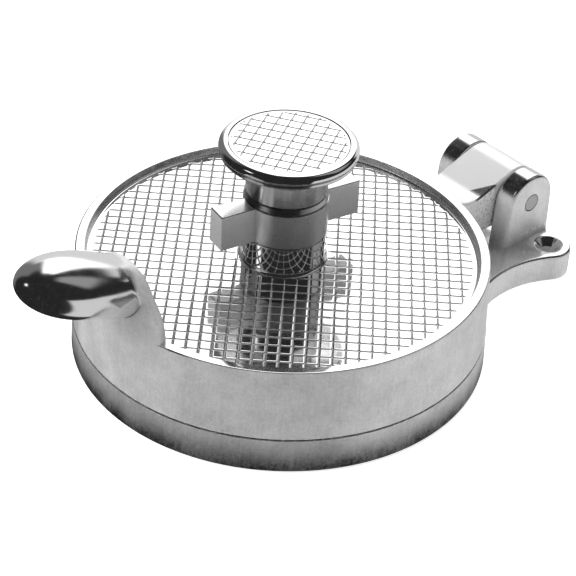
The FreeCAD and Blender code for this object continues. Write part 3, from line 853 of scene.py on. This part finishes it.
def handleField(points):
    # distance outside the handle, and outside its egg alone
    tilt = math.radians(handle["eggTilt"])
    away = points - np.array(handle["eggCentre"])
    lengthwise = -away[:, 1] * math.cos(tilt) + away[:, 2] * math.sin(tilt)
    upwards = away[:, 1] * math.sin(tilt) + away[:, 2] * math.cos(tilt)
    local = np.stack([away[:, 0], lengthwise, upwards], axis=1)
    size = np.tile(handle["eggSize"], (len(points), 1))
    size[:, 1] = np.where(lengthwise < 0, handle["tail"], size[:, 1])
    size[:, 2] += np.where(upwards < 0, handle["sag"] * np.minimum(lengthwise, 0) ** 2, 0)
    near = np.linalg.norm(local / size, axis=1)
    slope = np.linalg.norm(local / size ** 2, axis=1)
    radius = np.hypot(points[:, 0], points[:, 1])
    outer = wallRadius(points[:, 2]) + lid["proud"]
    behind = radius - outer + handle["neckThick"]
    egg = near * (near - 1) / np.maximum(slope, 1e-6)
    egg = -softMinimum(-egg, behind, handle["edge"])
    wall = -softMinimum(outer - radius, behind, handle["edge"])
    tall = handle["neckTall"] / handle["neckWide"]
    disc = np.hypot(points[:, 0], (points[:, 2] - handle["neckZ"]) / tall) - handle["neckWide"]
    neck = -softMinimum(-wall, -disc, handle["edge"])
    top = np.clip((upwards - handle["blendStart"]) / handle["blendHeight"], 0, 1)
    width = handle["creaseBlend"] + (handle["topBlend"] - handle["creaseBlend"]) * top
    return softMinimum(egg, neck, width), egg


def makeHandle():
    # each point of a ball moves along its spoke to the handle's surface
    bm = bmesh.new()
    bmesh.ops.create_icosphere(bm, subdivisions=handle["fineness"], radius=1)
    spokes = np.array([vert.co for vert in bm.verts])
    spokes /= np.linalg.norm(spokes, axis=1, keepdims=True)
    middle = np.array(handle["middle"])
    near = np.zeros(len(spokes))
    far = np.full(len(spokes), handle["reach"])
    for step in range(handle["halvings"]):
        half = (near + far) / 2
        inside = handleField(curled(middle + spokes * half[:, None]))[0] < 0
        near = np.where(inside, half, near)
        far = np.where(inside, far, half)
    points = curled(middle + spokes * near[:, None])
    for vert, point in zip(bm.verts, points):
        vert.co = Vector(point) * mm
    egg = handleField(points)[1]
    piece = finish(bm, "lid_handle", "lid", "polished_aluminium", castHandle)
    share = np.clip((egg - handle["satinStart"]) / handle["satinWidth"], 0, 1)
    attribute = piece.data.attributes.new("satin", "FLOAT", "POINT")
    attribute.data.foreach_set("value", share.astype(np.float32))


makeLid()
makeTongue()
makeHandle()
print("lid made")


base = {
    "foot": 63.8,
    "top": 11.6,
    "wall": 63.45,
    "cavity": 57.5,
    "floor": 4.0,
    "footEdge": 1.6,
    "topEdge": 0.15,
    "cavityEdge": 0.4,
    "cove": 1.2,
}


def makeBaseDish():
    bm = bmesh.new()
    lathe(bm, rounded([
        (0, 0),
        (base["foot"], 0, base["footEdge"]),
        (base["wall"], base["top"], base["topEdge"]),
        (base["cavity"], base["top"], base["cavityEdge"]),
        (base["cavity"], base["floor"], base["cove"]),
        (0, base["floor"]),
    ]), 360)
    finish(bm, "base_dish", "base", "cast_aluminium", castDish, ["base_casting"])


flange = {
    "height": 9.5,
    "lug": (23.8, 95.8),
    "lugRadius": 7.4,
    "waist": 35.0,
    "inset": 1.5,
    "edge": 0.8,
    "bottom": 0.02,
    "hole": 2.3,
    "sink": 4.5,
    "sinkDepth": 2.4,
    # the countersink's eased mouth: steps outwards and upwards from its edge
    "mouth": ((-0.15, -0.25), (0.35, 0.02), (0.5, 1.0)),
}


def flangeOutline():
    # a hollow waist runs from the dish to each round lug, and the back is straight
    lug = Vector(flange["lug"])
    reach = flange["waist"] + base["wall"] - flange["inset"]
    span = flange["waist"] + flange["lugRadius"]
    along = (reach ** 2 - span ** 2 + lug.length ** 2) / (2 * lug.length)
    aside = math.sqrt(reach ** 2 - along ** 2)
    toward = lug.normalized()
    centre = toward * along + Vector((toward.y, -toward.x)) * aside
    waistStart = math.degrees(math.atan2(-centre.y, -centre.x)) + 360
    waistEnd = math.degrees(math.atan2(lug.y - centre.y, lug.x - centre.x))
    lugStart = waistEnd - 180
    half = arcPoints(centre, flange["waist"], waistStart, waistEnd, 40)
    half += arcPoints(lug, flange["lugRadius"], lugStart, 90, 32)[1:]
    other = [Vector((-point.x, point.y)) for point in reversed(half)]
    # the front edge stays inside the dish's wall
    start, end = (math.degrees(math.atan2(point.y, point.x)) for point in (other[-1], half[0]))
    return half + other + arcPoints((0, 0), half[0].length, start, end, 32)[1:-1]


def makeFlange():
    top = flange["height"]
    edges = (flange["edge"], flange["edge"])
    bm = bmesh.new()
    slab(bm, flangeOutline(), flange["bottom"], top, edges, upright)
    along = flange["lug"][1]
    mouth = [(flange["sink"] + out, top + up) for out, up in flange["mouth"]]
    over = mouth[-1][1]
    hole = [(0, -1), (flange["hole"], -1), (flange["hole"], top - flange["sinkDepth"])]
    cutters = []
    for across in (-flange["lug"][0], flange["lug"][0]):
        cutter = bmesh.new()
        lathe(cutter, hole + mouth + [(0, over)], 64,
              lambda x, y, z: Vector((x + across, y + along, z)))
        cutters.append(cutter)
    finish(cutAway(bm, cutters), "base_flange", "base", "cast_aluminium", castBase)


ear = {
    "inner": 9.9,
    "outer": 17.0,
    "head": 9.7,
    "front": 81.9,
    "back": 102.6,
    "foot": 6.8,
    "innerEdge": 0.5,
    "outerEdge": 1.2,
    "pinGap": 0.12,
    "cut": 20.0,             # half length of the cutter for the pin's hole
}


def earOutline():
    # a straight foot, two flanks that touch the round head, and the head itself
    head = pinPlace
    outline = [Vector((ear["front"], ear["foot"])), Vector((ear["back"], ear["foot"]))]
    angles = []
    for foot, side in ((outline[1], -1), (outline[0], 1)):
        away = foot - head
        lean = math.atan2(away.y, away.x)
        angles.append(math.degrees(lean - side * math.acos(ear["head"] / away.length)))
    end = angles[1] + 360 if angles[1] < angles[0] else angles[1]
    return outline + arcPoints(head, ear["head"], angles[0], end, 48)


def onPin(x, y, z):
    # a lathe's axis laid along the pin
    return Vector((z, x + pinPlace.x, y + pinPlace.y))


def makeEars():
    hole, cut = pinRadius + ear["pinGap"], ear["cut"]
    for side, name in ((-1, "left"), (1, "right")):
        bm = bmesh.new()
        ends = sorted((side * ear["inner"], side * ear["outer"]))
        edges = (ear["innerEdge"], ear["outerEdge"])[::side]
        slab(bm, earOutline(), ends[0], ends[1], edges, sideways, 7)
        cutter = bmesh.new()
        lathe(cutter, [(0, -cut), (hole, -cut), (hole, cut), (0, cut)], 64, onPin)
        bm = cutAway(bm, [cutter])
        finish(bm, "hinge_ear_" + name, "base", "cast_aluminium", castBase)


def makePin():
    end = pinBox[1].x
    edge = 0.3
    bm = bmesh.new()
    outline = rounded([(0, -end), (pinRadius, -end, edge), (pinRadius, end, edge), (0, end)])
    lathe(bm, outline, 64, onPin)
    finish(bm, "pin", "base", "steel", steelMetal, ["hinge_pin"])


makeBaseDish()
makeFlange()
makeEars()
makePin()
print("base made")


collar = {
    "radius": 12.8,
    "bore": 8.06,
    "round": 0.3,
    "boreRound": 0.4,
    "wingRoot": 9.0,
    "wingHalf": 23.6,
    "wingThick": 7.2,
    "wingRound": 0.3,
    "draft": 0.2,            # how much thinner the wings are at the top, each side
    "turn": 79.5,
    "edge": 0.35,
}


def makeCollar():
    low, high = collarBox[0].z, collarBox[1].z
    bm = bmesh.new()
    lathe(bm, rounded([
        (collar["bore"], low),
        (collar["radius"], low, collar["round"]),
        (collar["radius"], high, collar["round"]),
        (collar["bore"], high, collar["boreRound"]),
    ]), 160)
    finish(bm, "collar_ring", "adjusting_collar", "cast_aluminium", collarMetal, ["wing_collar"])
    turn = Matrix.Rotation(math.radians(collar["turn"]), 3, "Z")
    start, end = collar["wingRoot"], collar["wingHalf"]
    thick, edge = collar["wingThick"] / 2, collar["wingRound"]
    edges = (collar["edge"], collar["edge"])
    for side, name in ((-1, "front"), (1, "back")):

        def wingPoint(a, b, height):
            lean = (height - low) / (high - low) * collar["draft"]
            return turn @ Vector((side * a, b * (1 - lean / thick), height))

        bm = bmesh.new()
        corners = [(start, -thick), (end, -thick, edge), (end, thick, edge), (start, thick)]
        slab(bm, rounded(corners, 4), low, high, edges, wingPoint)
        finish(bm, "collar_wing_" + name, "adjusting_collar", "cast_aluminium", wingMetal)


washer = {
    "bore": 9.8,
    "foot": 12.6,
    "top": 12.1,
    "edge": 0.2,
}


def makeWasher():
    low, high = washerBox[0].z, washerBox[1].z
    bm = bmesh.new()
    lathe(bm, rounded([
        (washer["bore"], low),
        (washer["foot"], low, washer["edge"]),
        (washer["top"], high, washer["edge"]),
        (washer["bore"], high),
    ]), 160)
    finish(bm, "stop_ring", "thickness_stop", "steel", steelMetal, ["stop_washer"])


neck = {
    "bore": 9.9,
    "tube": 12.2,
    "footEdges": (0.2, 0.35),    # inside and outside
    "tubeTop": 65.9,
    "cove": 0.8,
    "lip": 20.1,
    "lipBottom": 66.6,
    "lipTop": 68.6,
    "chamfer": (1.3, 0.9),   # across and up, under the lip
    "chamferEdges": (0.3, 0.5),
    "lipEdge": 0.25,
    "spigot": 5.8,           # seat of the disc on the neck
    "spigotFloor": 67.0,
    "screwBore": 2.75,
    "screwSeat": 63.6,
    "washerBore": 5.0,
    "ceiling": 62.6,
}


def makeNeck():
    low = neckBox[0].z
    inner, outer = neck["footEdges"]
    chamferStart, chamferEnd = neck["chamferEdges"]
    bm = bmesh.new()
    lathe(bm, rounded([
        (neck["bore"], low, inner),
        (neck["tube"], low, outer),
        (neck["tube"], neck["tubeTop"], neck["cove"]),
        (neck["lip"] - neck["chamfer"][0], neck["lipBottom"], chamferStart),
        (neck["lip"], neck["lipBottom"] + neck["chamfer"][1], chamferEnd),
        (neck["lip"], neck["lipTop"], neck["lipEdge"]),
        (neck["spigot"], neck["lipTop"]),
        (neck["spigot"], neck["spigotFloor"]),
        (neck["screwBore"], neck["spigotFloor"]),
        (neck["screwBore"], neck["screwSeat"]),
        (neck["washerBore"], neck["screwSeat"]),
        (neck["washerBore"], neck["ceiling"]),
        (neck["bore"], neck["ceiling"]),
    ]), 200)
    finish(bm, "neck_tube", "plunger", "polished_aluminium", neckMetal, ["knob_neck"])


disc = {
    "shoulder": 18.75,       # where its rounded edge starts
    "round": 1.75,           # height of that edge
    "underRound": 0.9,
    "ring": 17.9,            # seat of the waffle disc
    "ringEdge": 0.15,
    "floor": 70.1,
    "gap": 0.03,             # between its rim and the neck's lip
}


def makeDisc():
    bottom, top = rimBox[0].z, rimBox[1].z
    radius = rimBox[1].x
    wide = radius - disc["shoulder"]
    start = top - disc["round"]
    edge = [(disc["shoulder"] + wide * point.x, start + disc["round"] * point.y)
            for point in arcPoints((0, 0), 1, 0, 90, 14)]
    bm = bmesh.new()
    lathe(bm, rounded([
        (neck["spigot"], bottom),
        (radius, bottom + disc["gap"], disc["underRound"]),
        *edge,
        (disc["ring"], top, disc["ringEdge"]),
        (disc["ring"], disc["floor"]),
        (neck["spigot"], disc["floor"]),
    ], 9), 240)
    finish(bm, "knob_disc", "plunger", "polished_aluminium", knobMetal, ["knob_rim"])


insert = {
    "radius": 17.72,
    "footEdge": 0.1,
    "edge": 0.2,
    "border": 16.95,
    "borderStep": 0.01,      # the plain border stands this much over the pads
    "borderEdge": 0.02,
    "padThickness": 0.9,
    "padSeat": 0.8,          # how deep they are let in
}
knobWaffle = {
    "Pitch": 3.74, "Turn": 31.4, "Reach": 17.3, "Hole": -1.0, "Line End": 16.9, "Groove": 0.26,
    "Depth": 0.20, "Corner": 0.2, "Top": insertBox[1].z, "Wander": 0.04, "Cells": 12,
    "Shift Across": 0.6, "Shift Along": 0.4,
}


def makeInsert():
    low, high = insertBox[0].z, insertBox[1].z
    border = high + insert["borderStep"]
    seat = high - insert["padSeat"]
    knobWaffle["Metal"] = knobPads
    bm = waffleSheet(waffle, knobWaffle, insert["padThickness"])
    lathe(bm, rounded([
        (0, low),
        (insert["radius"], low, insert["footEdge"]),
        (insert["radius"], border, insert["edge"]),
        (insert["border"], border, insert["borderEdge"]),
        (insert["border"], seat),
        (0, seat),
    ], 4), 200)
    finish(bm, "knob_top", "plunger", "polished_aluminium", knobPads, ["knob_insert"], crease=75)


plate = {
    "headBore": 5.05,
    "bore": 2.55,
    "sink": 2.5,
    "edge": 0.5,
}


def makePlate():
    low, high = plateBox[0].z, plateBox[1].z
    radius = plateBox[1].x
    bm = bmesh.new()
    lathe(bm, rounded([
        (plate["headBore"], low),
        (radius, low, plate["edge"]),
        (radius, high, plate["edge"]),
        (plate["bore"], high),
        (plate["bore"], low + plate["sink"]),
    ]), 240)
    finish(bm, "plate", "plunger", "polished_aluminium", knobMetal, ["press_plate"])


makeCollar()
makeWasher()
makeNeck()
makeDisc()
makeInsert()
makePlate()
print("collar and knob made")

# pieces that keep the design's shape
steelPieces = (
    "guide_tube", "collar_stop_ring", "plunger_shaft", "plate_screw", "knob_lock_washer",
    "knob_screw",
)
keptFinishes = {name: steelMetal for name in steelPieces}
keptFinishes["shaft_drag_ring"] = rubber
for name, material in keptFinishes.items():
    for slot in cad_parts[name].material_slots:
        slot.link = "OBJECT"
        slot.material = material
print("kept pieces finished")


studio = {
    "table": 3.0,            # metres across
    "tableDrop": 0.0002,     # metres under the press
    "tableShade": 0.85,
    "tableRough": 0.9,
    "tableGlow": 0.78,
    "room": 0.018,
}
# reflected panels, the later in front: side angle from the camera's direction, half width,
# height, half height, softness of the edges, brightness
panels = {
    "leftGrey": (-150, 20, 12, 30, 18, 0.16),
    "rightGrey": (106, 12, 48, 14, 14, 0.28),
    "rightFloor": (96, 52, -47, 39, 6, 0.62),
    "skyline": (166, 30, -12, 30, 9, 0.68),
    "sweep": (172, 14, 41, 19, 10, 1.7),
    "strip": (-69, 3, 36, 2, 7, 1.4),
}


def makeTable():
    half = studio["table"] / 2
    bm = bmesh.new()
    for x, y in ((-half, -half), (half, -half), (half, half), (-half, half)):
        bm.verts.new((x, y, -studio["tableDrop"]))
    bm.faces.new(bm.verts)
    table = objectFrom(bm, "table")
    material = bpy.data.materials.new("pale_table")
    material.use_nodes = True
    graph = Graph(material.node_tree)
    shader = graph.make("ShaderNodeBsdfPrincipled", None, {
        "Base Color": grey(studio["tableShade"]), "Roughness": studio["tableRough"],
        "Emission Color": grey(1.0), "Emission Strength": studio["tableGlow"]})
    graph.make("ShaderNodeOutputMaterial", None, {"Surface": shader})
    table.data.materials.append(material)
    table.visible_glossy = False


def makeRoom():
    # mirrors see a dark room with bright panels, and the camera sees white behind the press
    world = bpy.data.worlds.new("studio")
    world.use_nodes = True
    scene.world = world
    graph = Graph(world.node_tree)
    direction = graph.make("ShaderNodeTexCoord", None, None, "Generated")
    turn = math.radians(view["turn"])
    front = (math.sin(turn), -math.cos(turn), 0.0)
    right = (math.cos(turn), math.sin(turn), 0.0)

    def towards(axis):
        return graph.make("ShaderNodeVectorMath", {"operation": "DOT_PRODUCT"},
                          {0: direction, 1: axis}, "Value")

    def maths(operation, *values):
        return graph.make("ShaderNodeMath", {"operation": operation}, dict(enumerate(values)))

    side = maths("ARCTAN2", towards(right), towards(front)) * (180 / math.pi)
    rise = maths("ARCSINE", towards((0, 0, 1))) * (180 / math.pi)
    light = studio["room"]
    for middle, halfWidth, height, halfHeight, soft, level in panels.values():
        away = abs(maths("WRAP", side - middle, 180.0, -180.0))
        mask = away.step(halfWidth, halfWidth + soft, 1.0, 0.0)
        mask = mask * abs(rise - height).step(halfHeight, halfHeight + soft, 1.0, 0.0)
        light = light * (1 - mask) + mask * level
    colour = graph.join(light, light, light)
    glow = graph.make("ShaderNodeBackground", None, {"Color": colour, "Strength": 1.0})
    white = graph.make("ShaderNodeBackground", None, {"Color": grey(1.0), "Strength": 1.0})
    seen = graph.make("ShaderNodeLightPath", None, None, "Is Camera Ray")
    mixed = graph.make("ShaderNodeMixShader", None, {0: seen, 1: glow, 2: white})
    graph.make("ShaderNodeOutputWorld", None, {"Surface": mixed})


# lamps, which no mirror shows: side angle from the camera, height, power, size in metres
lamps = {
    "key_lamp": (-66, 38, 6.6, 0.5),
    "fill_lamp": (62, 28, 2.2, 0.6),
    "rear_lamp": (170, 45, 3.6, 0.6),
    "top_lamp": (0, 88, 2.0, 0.6),
}
lampDistance = 0.9           # metres


def makeLamps():
    for name, (side, height, power, size) in lamps.items():
        data = bpy.data.lights.new(name, "AREA")
        data.energy = power
        data.size = size
        lamp = bpy.data.objects.new(name, data)
        turn = math.radians(view["turn"] + side - 90)
        rise = math.radians(height)
        level = math.cos(rise)
        spot = Vector((math.cos(turn) * level, math.sin(turn) * level, math.sin(rise)))
        lamp.location = spot * lampDistance
        lamp.rotation_euler = spot.to_track_quat("Z", "Y").to_euler()
        lamp.visible_glossy = False
        lamp.visible_camera = False
        scene.collection.objects.link(lamp)


makeTable()
makeRoom()
makeLamps()
print("studio made")

bpy.context.view_layer.update()
